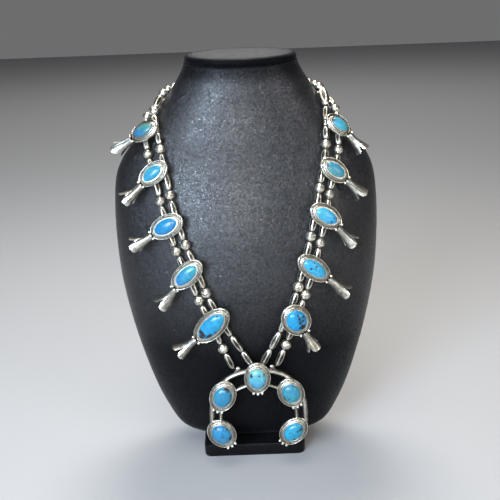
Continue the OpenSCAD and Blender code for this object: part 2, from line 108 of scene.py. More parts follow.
def setSky():
    world = bpy.data.worlds.new("studioSky")
    world.use_nodes = True
    nodes = world.node_tree.nodes
    links = world.node_tree.links
    back = nodes["Background"]
    back.inputs["Strength"].default_value = skyLook["strength"]
    where = nodes.new("ShaderNodeTexCoord")
    split = nodes.new("ShaderNodeSeparateXYZ")
    ramp = nodes.new("ShaderNodeValToRGB")
    for element, spot, name in zip(ramp.color_ramp.elements, skyLook["blend"], ("low", "high")):
        element.position = spot
        element.color = (*skyLook[name], 1)
    links.new(where.outputs["Generated"], split.inputs[0])
    links.new(split.outputs["Z"], ramp.inputs[0])
    links.new(ramp.outputs[0], back.inputs["Color"])
    bpy.context.scene.world = world


def setFloor():
    half = floorLook["size"] / 2
    mesh = bpy.data.meshes.new("studioFloor")
    corners = [(-half, -half, 0), (half, -half, 0), (half, half, 0), (-half, half, 0)]
    mesh.from_pydata(corners, [], [(0, 1, 2, 3)])
    plane = bpy.data.objects.new("studioFloor", mesh)
    bpy.context.scene.collection.objects.link(plane)
    paint = bpy.data.materials.new("paleFloor")
    paint.use_nodes = True
    surface = paint.node_tree.nodes["Principled BSDF"]
    surface.inputs["Base Color"].default_value = (*floorLook["colour"], 1)
    surface.inputs["Roughness"].default_value = floorLook["rough"]
    mesh.materials.append(paint)


setCamera()
setLamps()
setSky()
setFloor()
print("camera, lamps and floor set")

# materials


class Shader:
    def __init__(self, name):
        self.material = bpy.data.materials.new(name)
        self.material.use_nodes = True
        self.tree = self.material.node_tree
        self.surface = self.tree.nodes["Principled BSDF"]

    def node(self, kind, inputs=None, **settings):
        made = self.tree.nodes.new("ShaderNode" + kind)
        for key, value in settings.items():
            setattr(made, key, value)
        for key, value in (inputs or {}).items():
            if isinstance(value, bpy.types.NodeSocket):
                self.tree.links.new(value, made.inputs[key])
            else:
                made.inputs[key].default_value = value
        return made

    def place(self):
        return self.node("TexCoord").outputs["Object"]

    def noise(self, scale, detail, roughness=0.5):
        return self.node("TexNoise", {"Vector": self.place(), "Scale": scale, "Detail": detail,
                                      "Roughness": roughness}).outputs["Fac"]

    def cells(self, scale, feature, spot):
        return self.node("TexVoronoi", {"Vector": spot, "Scale": scale}, feature=feature).outputs["Distance"]

    def painted(self, name):
        return self.node("Attribute", attribute_name=name)

    def sums(self, operation, first, second=0.5, third=0.5):
        return self.node("Math", {0: first, 1: second, 2: third}, operation=operation).outputs[0]

    def span(self, value, low, high, newLow=0.0, newHigh=1.0):
        return self.node("MapRange", {"Value": value, "From Min": low, "From Max": high,
                                      "To Min": newLow, "To Max": newHigh}).outputs[0]

    def blend(self, factor, first, second, how="MIX"):
        made = self.node("Mix", data_type="RGBA", blend_type=how)
        for socket, value in ((made.inputs[0], factor), (made.inputs[6], first), (made.inputs[7], second)):
            if isinstance(value, bpy.types.NodeSocket):
                self.tree.links.new(value, socket)
            else:
                socket.default_value = (*value, 1) if isinstance(value, tuple) else value
        return made.outputs[2]

    def bump(self, height, strength, depth):
        made = self.node("Bump", {"Height": height, "Strength": strength, "Distance": depth})
        self.tree.links.new(made.outputs[0], self.surface.inputs["Normal"])

    def set(self, **values):
        names = {"colour": "Base Color", "metal": "Metallic", "rough": "Roughness", "coat": "Coat Weight",
                 "coatRough": "Coat Roughness", "sheen": "Sheen Weight", "sheenRough": "Sheen Roughness",
                 "specular": "Specular IOR Level"}
        for key, value in values.items():
            socket = self.surface.inputs[names[key]]
            if isinstance(value, bpy.types.NodeSocket):
                self.tree.links.new(value, socket)
            else:
                socket.default_value = (*value, 1) if isinstance(value, tuple) else value


leatherLook = {
    "black": (0.0010, 0.0010, 0.0013),
    "worn": (0.0040, 0.0041, 0.0054),
    "grain": 700.0,  # pebbles per metre
    "pores": 3200.0,
    "wearPatches": 9.0,
    "wander": 0.0010,  # how far the pebbles stray from even cells, in metres
    "depth": 0.00012,
    "rough": (0.25, 0.44),
    "gloss": 0.60,
    "glossLoss": 0.52,  # what is lost of it where the surface is painted dull, as painted shade
    "pebbleGloss": (0.62, 0.70),  # the dullest pebble's share, and what the glossiest adds
    "sheen": 0.02,
    "sheenRough": 0.4,
}
silverLook = {
    "bright": (0.93, 0.90, 0.81),
    "warm": (0.72, 0.67, 0.55),
    "tarnishAndShade": (0.045, 0.039, 0.030),
    "smut": 420.0,
    "warmPatches": 160.0,
    "scratches": 900.0,
    "stain": (0.62, 1.3),  # where tarnish starts to show, and where it is full
    "polish": 0.26,
    "dull": 0.48,
    "depth": 0.00012,
}
stoneLook = {
    "matrix": (0.012, 0.009, 0.009),
    "flecks": 1350.0,
    "vein": (0.80, 0.90),  # where the matrix starts to show, and where it is full
    "polish": 0.28,
    "coat": 0.15,
    "strength": 0.47,
    "depth": 0.0003,
}
threadLook = {
    "dark": (0.045, 0.040, 0.036),
    "light": (0.09, 0.08, 0.07),
    "twists": 1400.0,
    "depth": 0.00015,
}


def leatherMaterial():
    s = Shader("blackLeatherette")
    wobble = s.node("TexNoise", {"Vector": s.place(), "Scale": 420.0, "Detail": 2.0}).outputs["Color"]
    shifted = s.blend(leatherLook["wander"], s.place(), wobble, "LINEAR_LIGHT")
    pebble = s.cells(leatherLook["grain"], "SMOOTH_F1", shifted)
    crease = s.cells(leatherLook["grain"], "DISTANCE_TO_EDGE", shifted)
    pores = s.noise(leatherLook["pores"], 2.0)
    # flat-topped pebbles between narrow creases
    top = s.span(crease, 0.0, 0.16)
    height = s.sums("MULTIPLY_ADD", pores, 0.08, s.sums("POWER", top, 0.6))
    height = s.sums("SUBTRACT", height, s.sums("MULTIPLY", pebble, 0.25))
    wear = s.sums("MULTIPLY", s.span(s.noise(leatherLook["wearPatches"], 4.0, 0.6), 0.3, 0.7, 0.5, 1.0), top)
    # each pebble has a gloss of its own. The value painted on the mesh, which on the leather is painted shade
    # and not tarnish, makes them all duller.
    dull = s.painted("tarnishAndShade").outputs["Fac"]
    own = s.node("TexVoronoi", {"Vector": shifted, "Scale": leatherLook["grain"]}).outputs["Color"]
    least, more = leatherLook["pebbleGloss"]
    pebbleGloss = s.sums("MULTIPLY_ADD", own, more, least)
    placeGloss = s.sums("MULTIPLY_ADD", dull, -leatherLook["glossLoss"], leatherLook["gloss"])
    gloss = s.sums("MULTIPLY", pebbleGloss, placeGloss)
    s.set(colour=s.blend(wear, leatherLook["black"], leatherLook["worn"]),
          rough=s.span(s.noise(500.0, 3.0, 0.7), 0.3, 0.7, *leatherLook["rough"]),
          sheen=leatherLook["sheen"], sheenRough=leatherLook["sheenRough"], specular=gloss)
    s.bump(height, 1.0, leatherLook["depth"])
    return s.material


def silverMaterial():
    s = Shader("wornSilver")
    dark = s.painted("tarnishAndShade").outputs["Fac"]
    smut = s.noise(silverLook["smut"], 6.0, 0.7)
    stain = s.span(s.sums("MULTIPLY_ADD", smut, 1.0, dark), *silverLook["stain"])
    warmth = s.span(s.noise(silverLook["warmPatches"], 4.0, 0.6), 0.36, 0.66)
    clean = s.blend(warmth, silverLook["bright"], silverLook["warm"])
    scratch = s.noise(silverLook["scratches"], 4.0, 0.7)
    s.set(colour=s.blend(stain, clean, silverLook["tarnishAndShade"]), metal=1.0,
          rough=s.sums("MULTIPLY_ADD", stain, silverLook["dull"] - silverLook["polish"],
                       s.span(scratch, 0.3, 0.7, silverLook["polish"] - 0.05, silverLook["polish"] + 0.09)))
    s.bump(s.sums("MULTIPLY_ADD", scratch, 0.5, s.noise(320.0, 2.0)), 0.35, silverLook["depth"])
    return s.material


def stoneMaterial():
    s = Shader("turquoise")
    tone = s.painted("stoneColour").outputs["Color"]
    mask = s.painted("matrix").outputs["Fac"]
    cloud = s.span(s.noise(430.0, 5.0, 0.7), 0.3, 0.7, 0.60, 1.26)
    pale = s.span(s.noise(300.0, 4.0, 0.6), 0.35, 0.72, 0.75, 1.9)
    body = s.blend(1.0, tone, s.node("CombineColor", {0: pale, 1: cloud, 2: cloud}).outputs[0], "MULTIPLY")
    flecks = s.noise(stoneLook["flecks"], 4.0, 0.65)
    vein = s.span(s.sums("MULTIPLY_ADD", mask, 0.46, flecks), *stoneLook["vein"])
    s.set(colour=s.blend(vein, body, stoneLook["matrix"]), coat=stoneLook["coat"], coatRough=0.12,
          specular=0.4, rough=s.sums("MULTIPLY_ADD", vein, 0.25, stoneLook["polish"]))
    s.bump(s.sums("MULTIPLY_ADD", vein, -0.6, s.noise(150.0, 2.0)), 0.25, stoneLook["depth"])
    return s.material


def threadMaterial():
    s = Shader("darkThread")
    ply = s.node("TexWave", {"Vector": s.place(), "Scale": threadLook["twists"], "Distortion": 1.5},
                 bands_direction="DIAGONAL").outputs["Fac"]
    s.set(colour=s.blend(ply, threadLook["dark"], threadLook["light"]), rough=0.8, specular=0.3)
    s.bump(ply, 0.6, threadLook["depth"])
    return s.material


leather = leatherMaterial()
silver = silverMaterial()
turquoise = stoneMaterial()
thread = threadMaterial()
print("materials made")

# shapes, all in millimetres: a shape is (points, faces, darkening), where the darkening is tarnish on the
# silver and painted shade on the leather


def unit(v):
    return v / np.linalg.norm(v)


def ringShape(rings, dark=None, ends="capped"):
    rings = np.asarray(rings, float)
    rows, cols = rings.shape[:2]
    faces = []
    lastRow = rows if ends == "joined" else rows - 1
    for j in range(lastRow):
        for i in range(cols):
            a = j * cols + i
            b = j * cols + (i + 1) % cols
            c = (j + 1) % rows * cols
            faces.append((a, b, c + (i + 1) % cols, c + i))
    if ends == "capped":
        faces.append(tuple(range(cols - 1, -1, -1)))
        faces.append(tuple(range((rows - 1) * cols, rows * cols)))
    shade = np.zeros((rows, cols)) if dark is None else np.broadcast_to(dark, (rows, cols))
    return rings.reshape(-1, 3), faces, shade.reshape(-1).copy()


def turned(profile, sides, dark=0.0, grooves=None, ends="joined"):
    # profile rows: radius, height. grooves(angle, height) gives a factor and a tarnish.
    angles = np.linspace(0, 2 * math.pi, sides, endpoint=False)
    rings = []
    shades = []
    for k, (radius, height) in enumerate(profile):
        factor, tarnishAndShade = (1.0, 0.0) if grooves is None else grooves(angles, height)
        r = radius * factor * np.ones(sides)
        rings.append(np.stack([r * np.cos(angles), r * np.sin(angles), np.full(sides, height)], 1))
        shades.append(np.ones(sides) * (dark if np.isscalar(dark) else dark[k]) + tarnishAndShade)
    return ringShape(rings, np.array(shades), ends=ends)


def moved(shape, origin, x, y, z):
    points, faces, dark = shape
    axes = np.array([x, y, z])
    return points @ axes + np.asarray(origin), faces, dark


def along(shape, start, direction):
    z = unit(np.asarray(direction, float))
    x = unit(np.cross((0.0, 0.0, 1.0) if abs(z[2]) < 0.9 else (0.0, 1.0, 0.0), z))
    return moved(shape, start, x, np.cross(z, x), z)


def ballShape(centre, diameter):
    sides = 14
    steps = sides // 2
    angles = [math.pi * (k + 0.5) / steps for k in range(steps)]
    profile = [(diameter / 2 * math.sin(a), -diameter / 2 * math.cos(a)) for a in angles]
    points, faces, dark = turned(profile, sides, ends="capped")
    return points + np.asarray(centre), faces, dark


def addPiece(name, shapes, material, nodes, sharp, painted=None):
    points = []
    faces = []
    tarnishAndShade = []
    start = 0
    for spots, polygons, dark in shapes:
        points.append(spots)
        faces += [tuple(start + k for k in f) for f in polygons]
        tarnishAndShade.append(dark)
        start += len(spots)
    points = np.concatenate(points) * mm
    mesh = bpy.data.meshes.new(name)
    mesh.from_pydata(points.tolist(), [], faces)
    # the per-point darkening: tarnish on the silver, painted shade on the leather
    mesh.attributes.new("tarnishAndShade", "FLOAT", "POINT").data.foreach_set("value", np.concatenate(tarnishAndShade))
    for key, values in (painted or {}).items():
        if values.ndim == 2:
            layer = mesh.attributes.new(key, "FLOAT_COLOR", "POINT")
            layer.data.foreach_set("color", np.c_[values, np.ones(len(values))].ravel())
        else:
            mesh.attributes.new(key, "FLOAT", "POINT").data.foreach_set("value", values)
    mesh.materials.append(material)
    mesh.shade_smooth()
    mesh.set_sharp_from_angle(angle=math.radians(sharp))
    mesh.validate()
    piece = bpy.data.objects.new(name, mesh)
    bpy.context.scene.collection.objects.link(piece)
    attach(piece, "root")
    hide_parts(*nodes)
    return piece


# what the frame says: loose parts of a node, frames of the stones, order of the beads


def meshOf(node):
    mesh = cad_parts[node].data
    points = np.empty(len(mesh.vertices) * 3)
    mesh.vertices.foreach_get("co", points)
    spots, where = np.unique(np.round(points.reshape(-1, 3) / mm, 2), axis=0, return_inverse=True)
    corners = np.empty(len(mesh.loops), int)
    mesh.loops.foreach_get("vertex_index", corners)
    return spots, where.reshape(-1)[corners].reshape(-1, 3)


def looseParts(node):
    spots, faces = meshOf(node)
    label = np.arange(len(spots))
    while True:
        lower = label.copy()
        np.minimum.at(lower, faces.ravel(), np.repeat(label[faces].min(1), 3))
        lower = lower[lower]
        if (lower == label).all():
            break
        label = lower
    return [spots[label == k] for k in np.unique(label)]


def beadChain(node):
    parts = looseParts(node)
    centres = np.array([(p.min(0) + p.max(0)) / 2 for p in parts])
    order = [int(centres[:, 2].argmin())]
    while len(order) < len(parts):
        left = [k for k in range(len(parts)) if k not in order]
        order.append(min(left, key=lambda k: np.linalg.norm(centres[k] - centres[order[-1]])))
    chain = []
    for place, k in enumerate(order):
        before = centres[order[max(place - 1, 0)]]
        after = centres[order[min(place + 1, len(order) - 1)]]
        axis = unit(after - before)
        spread = parts[k] - centres[k]
        values, vectors = np.linalg.eigh(spread.T @ spread)
        oblong = bool(values[2] > beadLook["oblongFrom"] * values[1])
        if oblong:
            axis = vectors[:, 2] * np.sign(vectors[:, 2] @ axis)
        reach = spread @ axis
        width = 2 * np.linalg.norm(spread - np.outer(reach, axis), axis=1).max()
        chain.append({"centre": centres[k], "axis": axis, "length": reach.max() - reach.min(),
                      "width": width, "oblong": oblong})
    return chain


def stoneFrame(node):
    spots = meshOf(node)[0]
    middle = (spots.min(0) + spots.max(0)) / 2
    spread = spots - spots.mean(0)
    vectors = np.linalg.eigh(spread.T @ spread)[1]
    # u runs along the stone, v across it, and n out of the bust
    n = vectors[:, 0]
    n = n * (1 if n @ (middle - np.array([0, 10.0, middle[2]])) > 0 else -1)
    u = vectors[:, 2]
    v = np.cross(n, u)
    heights = spots @ n
    sole = heights.min() - settingLook["stoneSeat"]
    centre = spots.mean(0) + (sole - spots.mean(0) @ n) * n
    length = 2 * (spread @ u).max()
    width = 2 * (spread @ v).max()
    return {"origin": centre, "u": u, "v": v, "n": n, "l": length, "w": width}


# beads

beadLook = {
    "bore": 1.6,
    "sides": 36,
    "seamRise": 0.24,
    "seamWidth": 0.26,
    "oblongFrom": 2.2,  # squared spread of a bead's points, lengthwise over crosswise
    "leaves": 5,  # sunk panels round an oblong bead
    "leafDepth": 0.15,
    "leafWidth": 0.84,
    "leafSlope": 0.22,
    "leafReach": 0.45,
    "leafSides": 50,
    "endWidth": 2.1,
}


def roundBead(width):
    r = width / 2
    bore = beadLook["bore"] / 2
    first = math.asin(bore / r)
    profile = []
    dark = []
    # even rows over both caps, closer ones over the seam between them
    caps = np.linspace(first, math.pi / 2 - 0.26, 10)
    overSeam = math.pi / 2 + np.linspace(-0.2, 0.2, 9)
    for a in [*caps, *overSeam, *(math.pi - caps[::-1])]:
        z = -r * math.cos(a)
        seam = math.exp(-(z / beadLook["seamWidth"]) ** 4)
        profile.append((r * math.sin(a) + beadLook["seamRise"] * seam, z))
        shoulder = math.exp(-((abs(z) - 2.0 * beadLook["seamWidth"]) / 0.26) ** 2)
        mouth = math.exp(-(r * math.sin(a) - bore) / 0.45)
        dark.append(0.1 + 0.65 * shoulder + 0.7 * mouth)
    end = r * math.cos(first)
    profile += [(bore, z) for z in np.linspace(end, -end, 4)[1:-1]]
    dark += [1.0, 1.0]
    return turned(profile, beadLook["sides"], dark)


def oblongBead(length, width):
    bore = beadLook["bore"] / 2
    end = beadLook["endWidth"] / 2
    steps = 17
    profile = []
    dark = []
    for k in range(steps):
        a = math.pi * k / (steps - 1)
        z = -length / 2 * math.cos(a)
        swell = math.sin(a) ** 1.15
        profile.append((end + (width / 2 - end) * swell, z))
        dark.append(0.55 * math.exp(-((length / 2 - abs(z)) / 0.5) ** 2))
    profile += [(bore, z) for z in np.linspace(length / 2, -length / 2, 4)]
    dark += [0.9, 1.0, 1.0, 0.9]

    def grooves(angles, z):
        part = angles * beadLook["leaves"] / (2 * math.pi)
        off = np.abs(part - np.round(part)) * 2
        tip = length * beadLook["leafReach"]
        wide = beadLook["leafWidth"] * max(0.05, 1 - (z / tip) ** 2)
        sunk = np.clip((wide - off) / beadLook["leafSlope"], 0, 1) * (abs(z) < tip)
        edge = np.exp(-((off - wide) / 0.12) ** 2)
        return 1 - beadLook["leafDepth"] * sunk, np.clip(0.8 * sunk + 0.35 * edge, 0, 1)

    outer = turned(profile[:steps], beadLook["leafSides"], dark[:steps], grooves, ends="open")
    inner = turned(profile[steps:], beadLook["leafSides"], dark[steps:], ends="open")
    rows = np.concatenate([outer[0], inner[0]]).reshape(len(profile), -1, 3)
    shades = np.concatenate([outer[2], inner[2]]).reshape(len(profile), -1)
    return ringShape(rows, shades, ends="joined")


def addBeads(node, name):
    shapes = []
    chain = beadChain(node)
    for bead in chain:
        if bead["oblong"]:
            shape = oblongBead(bead["length"], bead["width"])
        else:
            shape = roundBead(bead["width"])
        shapes.append(along(shape, bead["centre"], bead["axis"]))
    addPiece(name, shapes, silver, [node], sharp=60)
    return chain


chains = {}
for side in ("left", "right"):
    chains[side] = [addBeads(f"{string}_beads_{side}", f"{string}Beads{side.title()}")
                    for string in ("inner", "outer")]
for node in ("inner_thread", "outer_thread"):
    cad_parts[node].data.materials.clear()
    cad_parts[node].data.materials.append(thread)
print("beads strung:", sum(len(c) for side in chains.values() for c in side))

# plates, stones and grains

settingLook = {
    "endEdge": 4.2,
    "sideEdge": 3.3,
    "stoneSeat": 1.1,
    "sides": 240,
    "rimTwist": 0.03,
    "ropeTwist": 0.14,
    "ropePitch": 1.3,  # millimetres between two twists
    "ropeSlant": 40,
    "toothDepth": 0.07,
    "toothPitch": 1.0,
    "bezelTop": 3.15,
    "girdleDrop": 0.8,  # how far below the bezel's top the stone starts to curve in
    "domeRise": 0.24,  # share of the stone's width, on top of the least rise
    "domeLeast": 0.6,
    "stoneUneven": 0.009,
    "grain": 2.2,
    "grainOut": 0.33,  # how far its centre stands outside the rim, as a share of it
    "grainHeight": 1.7,
    "grainSpread": 18.0,  # degrees from one to the next
}

# across: share of the edge from the outside in. height above the plate's back. tarnish.
# wave: 0 none, 1 rim, 2 rope, 3 teeth of the bezel
plateProfile = [
    (0.05, 0.0, 0.4, 0), (0.0, 0.35, 0.3, 0), (0.0, 1.2, 0.2, 0), (0.014, 1.65, 0.0, 1),
    (0.05, 1.95, 0.0, 1), (0.10, 2.08, 0.0, 1), (0.16, 2.0, 0.0, 1), (0.18, 1.6, 0.3, 1),
    (0.195, 0.9, 1.0, 0), (0.295, 0.8, 1.0, 0), (0.31, 1.3, 0.5, 2), (0.34, 1.65, 0.1, 2),
    (0.385, 1.84, 0.0, 2), (0.43, 1.72, 0.1, 2), (0.455, 1.45, 0.5, 2), (0.47, 1.1, 1.0, 0),
    (0.52, 1.1, 0.95, 0), (0.54, 1.5, 0.25, 3), (0.62, 1.82, 0.1, 3), (0.70, 2.08, 0.25, 3),
    (0.735, 2.1, 1.0, 0), (0.77, 2.55, 0.6, 3), (0.80, 2.95, 0.3, 3), (0.84, 3.12, 0.2, 0),
    (0.90, 3.15, 0.4, 0),
]
# the bezel's toothed lip, which leans in over the stone down to what shows of it. Each row: share
# of the way in, height, tarnish, how strong the teeth are
lipProfile = [
    (0.3, 3.08, 0.5, 0.5), (0.55, 3.15, 0.25, 0.3), (0.9, 3.1, 0.25, 0.1), (1.0, 2.97, 0.9, 0),
    (1.03, 2.3, 1.0, 0),
]
lipStart = 1.02  # as a share of the stone's length and width


def plateShapes(seat, grainTurn, window):
    l, w = seat["l"], seat["w"]
    a = l / 2 + settingLook["endEdge"]
    b = w / 2 + settingLook["sideEdge"]
    turns = np.linspace(0, 2 * math.pi, settingLook["sides"], endpoint=False)
    cos, sin = np.cos(turns), np.sin(turns)
    twists = round(math.pi * (a + b) / settingLook["ropePitch"])
    teeth = round(math.pi * (a + b) / settingLook["toothPitch"])
    rings = []
    shades = []
    for share, height, dark, kind in plateProfile:
        size = (0, settingLook["rimTwist"], settingLook["ropeTwist"], settingLook["toothDepth"])[kind]
        twist = twists * turns + share * settingLook["ropeSlant"]
        wave = np.sin(teeth * turns) if kind == 3 else np.sin(twist)
        rings.append(np.stack([(a - share * settingLook["endEdge"]) * cos,
                               (b - share * settingLook["sideEdge"]) * sin,
                               height + size * wave], 1))
        shades.append(dark + (0.24 * (wave < -0.2) if kind > 1 else 0 * wave))
    for lean, height, dark, tooth in lipProfile:
        wave = tooth * np.sin(teeth * turns)
        rings.append(np.stack([l / 2 * (lipStart + (window[0] - lipStart) * lean) * cos,
                               w / 2 * (lipStart + (window[1] - lipStart) * lean) * sin,
                               height + settingLook["toothDepth"] * wave], 1))
        shades.append(dark + 0.6 * np.clip(-wave, 0, 1))
    shapes = [ringShape(rings, np.array(shades))]
    for k in (-1, 0, 1):
        turn = math.radians(grainTurn + k * settingLook["grainSpread"])
        out = settingLook["grain"] * settingLook["grainOut"]
        spot = ((a + out) * math.cos(turn), (b + out) * math.sin(turn), settingLook["grainHeight"])
        shapes.append(ballShape(spot, settingLook["grain"]))
    return [moved(s, seat["origin"], seat["u"], seat["v"], seat["n"]) for s in shapes]


# Stones. window: what the bezel leaves to see, as shares of length and width.
# tone: main colour, tone2: second colour with the way it lies (right, up).
# spots: right, up, radius and strength of the dark matrix, as shares of the stone's half size.
stones = {
    "stone_left_1": {"window": (0.87, 0.90), "tone": (0.034, 0.25, 0.56), "tone2": (0.10, 0.38, 0.32),
                     "way": (0.5, 0.9), "spots": [(0.75, 0.1, 0.30, 0.8), (0.3, 0.5, 0.2, 0.6)]},
    "stone_left_2": {"window": (0.92, 0.91), "tone": (0.028, 0.38, 0.70), "tone2": (0.056, 0.50, 0.65),
                     "way": (-0.5, 0.8), "spots": [(0.8, -0.5, 0.25, 0.5)]},
    "stone_left_3": {"window": (0.93, 0.92), "tone": (0.014, 0.28, 0.68), "tone2": (0.02, 0.40, 0.72),
                     "way": (-0.5, 0.8), "spots": [(0.5, 0.45, 0.25, 0.75), (0.75, 0.1, 0.2, 0.6)]},
    "stone_left_4": {"window": (0.92, 0.89), "tone": (0.029, 0.34, 0.72), "tone2": (0.058, 0.52, 0.62),
                     "way": (0.7, 0.7),
                     "spots": [(0.35, -0.45, 0.28, 0.75), (-0.5, -0.85, 0.25, 0.75), (0.75, 0.0, 0.25, 0.7)]},
    "stone_left_5": {"window": (0.93, 0.92), "tone": (0.018, 0.44, 0.86), "tone2": (0.024, 0.50, 0.82),
                     "way": (0.6, 0.6),
                     "spots": [(-0.80, -0.85, 0.24, 1.15), (-0.62, -0.50, 0.24, 1.0),
                               (-0.25, -0.72, 0.18, 1.1), (0.30, -0.38, 0.14, 1.1), (0.48, 0.86, 0.14, 1.0),
                               (-0.85, -0.3, 0.2, 0.9), (-0.05, -0.55, 0.16, 0.95)]},
    "stone_right_1": {"window": (0.86, 0.90), "tone": (0.09, 0.60, 0.70), "tone2": (0.07, 0.51, 0.72),
                      "way": (-0.5, 0.7), "spots": [(-0.75, 0.7, 0.35, 1.0), (0.7, -0.7, 0.25, 0.5)]},
    "stone_right_2": {"window": (0.92, 0.91), "tone": (0.035, 0.42, 0.68), "tone2": (0.115, 0.46, 0.40),
                      "way": (-0.8, -0.6), "spots": [(-0.75, 0.62, 0.26, 1.1), (-0.5, -0.35, 0.25, 0.65)]},
    "stone_right_3": {"window": (0.91, 0.92), "tone": (0.04, 0.50, 0.94), "tone2": (0.095, 0.71, 0.88),
                      "way": (-0.7, 0.4), "spots": [(0.42, -0.62, 0.18, 1.1), (0.7, -0.3, 0.2, 0.7)]},
    "stone_right_4": {"window": (0.96, 0.94), "tone": (0.05, 0.56, 0.94), "tone2": (0.05, 0.64, 0.98),
                      "way": (0.3, -0.8),
                      "spots": [(-0.32, 0.12, 0.16, 1.2), (0.18, 0.30, 0.16, 1.15), (0.05, 0.05, 0.12, 1.0),
                                (-0.05, 0.62, 0.12, 0.9)]},
    "stone_right_5": {"window": (0.97, 0.96), "tone": (0.011, 0.38, 0.76), "tone2": (0.015, 0.52, 0.97),
                      "way": (-0.9, 0.1),
                      "spots": [(0.12, 0.62, 0.15, 1.2), (0.28, 0.32, 0.18, 1.2), (0.62, 0.45, 0.14, 1.1),
                                (0.30, -0.05, 0.18, 1.2), (0.62, -0.48, 0.28, 1.7), (0.25, -0.55, 0.12, 1.0),
                                (0.6, 0.1, 0.14, 1.05)]},
    "naja_stone_1": {"window": (0.93, 0.98), "tone": (0.06, 0.50, 0.90), "tone2": (0.21, 0.78, 0.75),
                     "way": (0.1, 1.0),
                     "spots": [(-0.66, 0.42, 0.24, 1.2), (0.22, 0.45, 0.15, 1.05), (0.7, -0.7, 0.28, 1.05),
                               (-0.6, -0.75, 0.28, 1.05), (0.75, 0.45, 0.2, 1.0)]},
    "naja_stone_2": {"window": (0.94, 0.98), "tone": (0.032, 0.35, 0.62), "tone2": (0.038, 0.40, 0.63),
                     "way": (-0.5, 0.5),
                     "spots": [(0.62, 0.75, 0.22, 1.15), (0.3, 0.92, 0.2, 1.05), (0.85, 0.3, 0.16, 1.0),
                               (0.62, -0.45, 0.1, 0.8)]},
    "naja_stone_3": {"window": (0.98, 0.98), "tone": (0.042, 0.41, 0.65), "tone2": (0.06, 0.43, 0.49),
                     "way": (-0.4, -0.8),
                     "spots": [(-0.80, -0.42, 0.28, 1.1), (-0.25, -0.35, 0.12, 1.15), (-0.15, 0.38, 0.1, 1.0),
                               (0.35, 0.1, 0.1, 0.8)]},
    "naja_stone_4": {"window": (0.97, 0.98), "tone": (0.026, 0.41, 0.78), "tone2": (0.05, 0.34, 0.60),
                     "way": (0.0, -1.0),
                     "spots": [(0.1, -0.05, 0.12, 1.1), (-0.3, -0.5, 0.22, 0.8), (0.82, -0.3, 0.24, 1.15),
                               (0.55, 0.62, 0.18, 1.05), (-0.5, 0.75, 0.2, 1.0)]},
    "naja_stone_5": {"window": (0.98, 0.98), "tone": (0.028, 0.55, 0.90), "tone2": (0.028, 0.43, 0.64),
                     "way": (0.8, -0.5),
                     "spots": [(0.35, 0.25, 0.2, 1.0), (0.1, -0.70, 0.26, 1.15), (0.75, 0.4, 0.22, 1.05),
                               (-0.35, 0.05, 0.2, 0.85), (0.6, -0.25, 0.18, 0.95)]},
}


def addStone(node, seat, seed):
    look = stones[node]
    l, w = seat["l"] / 2, seat["w"] / 2
    sides = 72
    turns = np.linspace(0, 2 * math.pi, sides, endpoint=False)
    rng = np.random.default_rng(seed)
    bumps = rng.normal(0, settingLook["stoneUneven"], (3, 2))
    outline = 1 + sum(bumps[k, 0] * np.cos((k + 2) * turns) + bumps[k, 1] * np.sin((k + 2) * turns)
                      for k in range(3))
    outline = np.minimum(outline, 1.0)
    girdle = settingLook["bezelTop"] - settingLook["girdleDrop"]
    rise = settingLook["domeRise"] * seat["w"] + settingLook["domeLeast"]
    rows = [(0.97, settingLook["stoneSeat"]), (0.985, girdle)]
    rows += [(math.cos(a) ** 0.92 * 0.985, girdle + rise * math.sin(a) ** 0.95)
             for a in np.radians(np.linspace(8, 87, 15))]
    rings = [np.stack([l * s * outline * np.cos(turns), w * s * outline * np.sin(turns),
                       np.full(sides, z)], 1) for s, z in rows]
    shape = moved(ringShape(rings), seat["origin"], seat["u"], seat["v"], seat["n"])
    local = shape[0] - (shape[0].min(0) + shape[0].max(0)) / 2
    half = np.abs(local).max(0)
    right = local[:, 0] / half[0]
    up = local[:, 2] / half[2]
    lean = np.clip(0.5 + 0.5 * (right * look["way"][0] + up * look["way"][1]), 0, 1)[:, None]
    colour = stoneLook["strength"] * (np.array(look["tone"]) * (1 - lean) + np.array(look["tone2"]) * lean)
    mask = np.zeros(len(local))
    for x, z, radius, strength in look["spots"]:
        mask += strength * np.exp(-((right - x) ** 2 + (up - z) ** 2) / radius ** 2)
    addPiece(node.replace("_", "") + "Cabochon", [shape], turquoise, [node], sharp=50,
             painted={"stoneColour": colour, "matrix": mask})


# blossoms

flowerLook = {
    "stem": 5.4,
    "root": 1.2,  # how far inside the plate's end it starts
    "rise": 0.2,  # its axis above the plate's back, as a share of the stem's width
    "wall": 0.6,
    "thinPetalWall": 1.3,
    "split": 0.46,  # where the petals part, as a share of the length
    "sides": 120,
    "hatch": 30,
    "hatchDepth": 0.05,
    "keelTurn": 24.0,
    "keelWidth": 7.0,  # degrees
    "keelRise": 0.32,
}
# petals: turn from the front towards the thin petal's side, half width in degrees, reach, flare at
# the tip (the thin petal's comes from thinFlare), how square the tip is
petals = {
    "front": (-6.0, 60.0, 1.0, 1.2, 3.6),
    "thin": (94.0, 38.0, 0.93, None, 4.0),
    "back": (-114.0, 40.0, 0.86, 1.6, 2.2),
}
thinFlare = {"left": 4.6, "right": 3.1}
# the way each flower is rolled: degrees from the plate's front towards its lower side
flowerRolls = {"left": (10, 26, 6, 26, 26), "right": (-8, -6, 20, 26, -12)}
shankLook = {
    "outer": 3.6,
    "length": 4.0,
    "post": 2.2,
    "postStart": 1.3,  # from the loop's middle towards the plate
    "leastGap": 3.0,  # two beads this far apart have a loop between them
}


